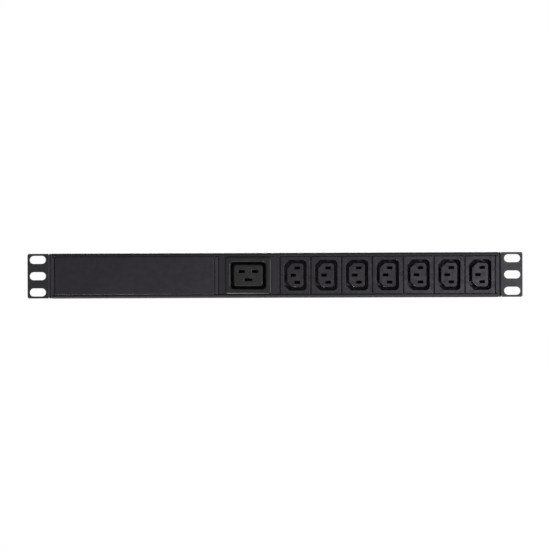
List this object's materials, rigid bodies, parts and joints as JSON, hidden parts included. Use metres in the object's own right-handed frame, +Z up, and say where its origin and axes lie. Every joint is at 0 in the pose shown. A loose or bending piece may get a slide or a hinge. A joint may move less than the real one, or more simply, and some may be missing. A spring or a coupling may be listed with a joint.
{
  "type": "rack power strip",
  "caption": "Black 1U 19-inch rack power strip with a blank section, a large outlet and a row of small outlets, slotted rack ears and a rear inlet.",
  "frame": {"origin": "centre of the footprint, on the underside", "axes": "+X along the strip to the right seen from the front, +Y from the front to the back, +Z up"},
  "size_m": [0.4826, 0.0472, 0.044],
  "materials": {
    "black_channel": "black anodised, satin",
    "black_ear": "black powder coat, fine texture",
    "black_plastic": "moulded, matte",
    "cover_plastic": "moulded, fine grain",
    "outlet_plastic": "moulded, satin",
    "large_outlet_plastic": "moulded, satin",
    "black_screw": "black zinc",
    "contact_brass": "rolled",
    "nickel_plate": "nickel plated",
    "wire_brown": "insulation",
    "wire_blue": "insulation",
    "wire_green": "insulation"
  },
  "bodies": {
    "root": {"housing_channel": "black_channel", "rack_ear_left": "black_ear", "rack_ear_right": "black_ear", "end_cap_left": "black_plastic", "end_cap_right": "black_plastic", "spacer_strip": "black_plastic", "blank_cover": "cover_plastic", "c19_carrier": "cover_plastic", "c19_body": "large_outlet_plastic", "c13_body_1": "outlet_plastic", "c13_body_2": "outlet_plastic", "c13_body_3": "outlet_plastic", "c13_body_4": "outlet_plastic", "c13_body_5": "outlet_plastic", "c13_body_6": "outlet_plastic", "c13_body_7": "outlet_plastic", "c19_rear_cover": "black_plastic", "c13_rear_cover_1": "black_plastic", "c13_rear_cover_2": "black_plastic", "c13_rear_cover_3": "black_plastic", "c13_rear_cover_4": "black_plastic", "c13_rear_cover_5": "black_plastic", "c13_rear_cover_6": "black_plastic", "c13_rear_cover_7": "black_plastic", "inlet_body": "black_plastic", "ear_screw_left_lower": "black_screw", "ear_screw_left_upper": "black_screw", "ear_screw_right_lower": "black_screw", "ear_screw_right_upper": "black_screw", "inlet_screw_left": "black_screw", "inlet_screw_right": "black_screw", "bond_screw": "black_screw", "busbar_line": "contact_brass", "busbar_neutral": "contact_brass", "busbar_earth": "contact_brass", "c19_contact_line": "contact_brass", "c19_contact_neutral": "contact_brass", "c19_contact_earth": "contact_brass", "inlet_pin_line": "nickel_plate", "inlet_pin_neutral": "nickel_plate", "inlet_pin_earth": "nickel_plate", "inlet_nut_left": "nickel_plate", "inlet_nut_right": "nickel_plate", "bond_nut": "nickel_plate", "bond_ring_terminal": "nickel_plate", "feed_wire_line": "wire_brown", "link_wire_line": "wire_brown", "feed_wire_neutral": "wire_blue", "link_wire_neutral": "wire_blue", "feed_wire_earth": "wire_green", "link_wire_earth": "wire_green", "bond_wire": "wire_green"}
  },
  "joints": []
}
